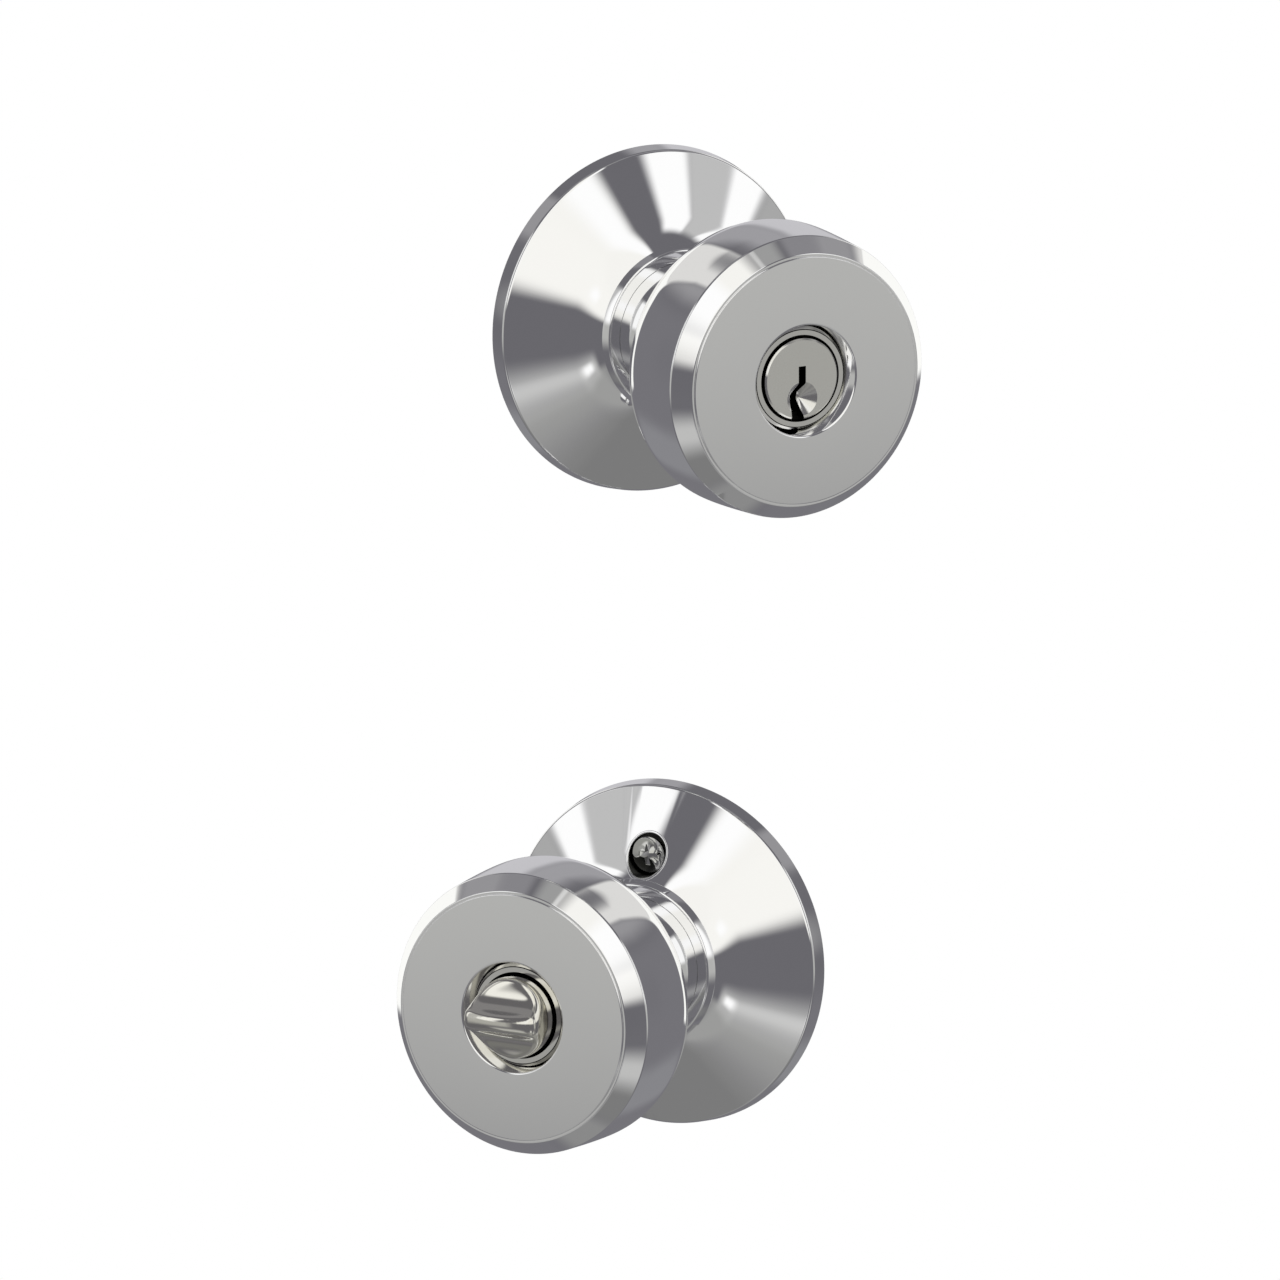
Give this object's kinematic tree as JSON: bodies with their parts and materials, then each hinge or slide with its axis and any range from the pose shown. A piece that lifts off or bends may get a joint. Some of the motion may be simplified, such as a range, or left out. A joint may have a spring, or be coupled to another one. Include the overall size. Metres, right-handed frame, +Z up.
{
  "type": "keyed entry knob lock",
  "caption": "Keyed entry knob lock as its two halves: bevelled round knob with key cylinder on a coned rose, and matching knob with turn button and screws.",
  "frame": {"origin": "centre of the outside rose's back face, on the outside knob's axis", "axes": "-Y out of the door along the outside knob's axis, +Y into the door, +Z up"},
  "size_m": [0.0919, 0.1062, 0.1852],
  "materials": {
    "polished_chrome": "mirror polished chrome plate on drawn brass",
    "zinc_plated_steel": "bright zinc plate on pressed and turned steel",
    "spring_steel": "oiled spring steel",
    "sintered_bronze": "sintered bronze, matt",
    "nickel_plated_brass": "bright nickel plate on turned brass",
    "satin_nickel_plug": "satin nickel plate on turned brass",
    "bright_nickel_button": "bright nickel plate on a cast button",
    "pin_brass": "plain turned brass",
    "plated_screws": "bright chrome plate on steel"
  },
  "bodies": {
    "root": {"outside_rose": "polished_chrome", "outside_mounting_plate": "zinc_plated_steel", "outside_screw_posts": "zinc_plated_steel", "outside_bearing": "sintered_bronze", "outside_spring_cage": "zinc_plated_steel", "outside_return_spring": "spring_steel", "inside_rose": "polished_chrome", "inside_mounting_plate": "zinc_plated_steel", "inside_bearing": "sintered_bronze", "inside_spring_cage": "zinc_plated_steel", "inside_return_spring": "spring_steel", "mounting_screws": "plated_screws"},
    "outside_knob": {"outside_knob_body": "polished_chrome", "outside_knob_face": "polished_chrome", "outside_retaining_ring": "spring_steel", "outside_spindle": "zinc_plated_steel", "outside_stop_washer": "zinc_plated_steel", "cylinder_shell": "nickel_plated_brass", "driver_pins": "pin_brass", "pin_springs": "spring_steel", "chamber_cover": "pin_brass"},
    "key_plug": {"cylinder_plug": "satin_nickel_plug", "bottom_pins": "pin_brass", "plug_clip": "spring_steel", "tailpiece": "zinc_plated_steel"},
    "inside_knob": {"inside_knob_body": "polished_chrome", "inside_knob_face": "polished_chrome", "inside_retaining_ring": "spring_steel", "inside_drive_sleeve": "zinc_plated_steel", "inside_stop_washer": "zinc_plated_steel", "button_sleeve": "nickel_plated_brass"},
    "turn_button": {"turn_button": "bright_nickel_button", "button_shaft": "zinc_plated_steel", "button_clip": "spring_steel"}
  },
  "joints": [
    {"name": "outside_knob_turn", "type": "hinge", "parent": "root", "child": "outside_knob", "pos_m": [0, 0, 0], "axis": [0, -1, 0], "range_deg": [-65, 65], "stiffness_Nm_per_rad": 0.25, "deforming": ["outside_return_spring"]},
    {"name": "key_plug_turn", "type": "hinge", "parent": "outside_knob", "child": "key_plug", "pos_m": [0, 0, 0], "axis": [0, -1, 0], "range_deg": [-90, 90]},
    {"name": "inside_knob_turn", "type": "hinge", "parent": "root", "child": "inside_knob", "pos_m": [0.0039, -0.0022, -0.1202], "axis": [-0.848, -0.5299, 0], "range_deg": [-65, 65], "stiffness_Nm_per_rad": 0.25, "deforming": ["inside_return_spring"]},
    {"name": "turn_button_turn", "type": "hinge", "parent": "inside_knob", "child": "turn_button", "pos_m": [0.0039, -0.0022, -0.1202], "axis": [0.848, 0.5299, 0], "range_deg": [0, 90]}
  ]
}
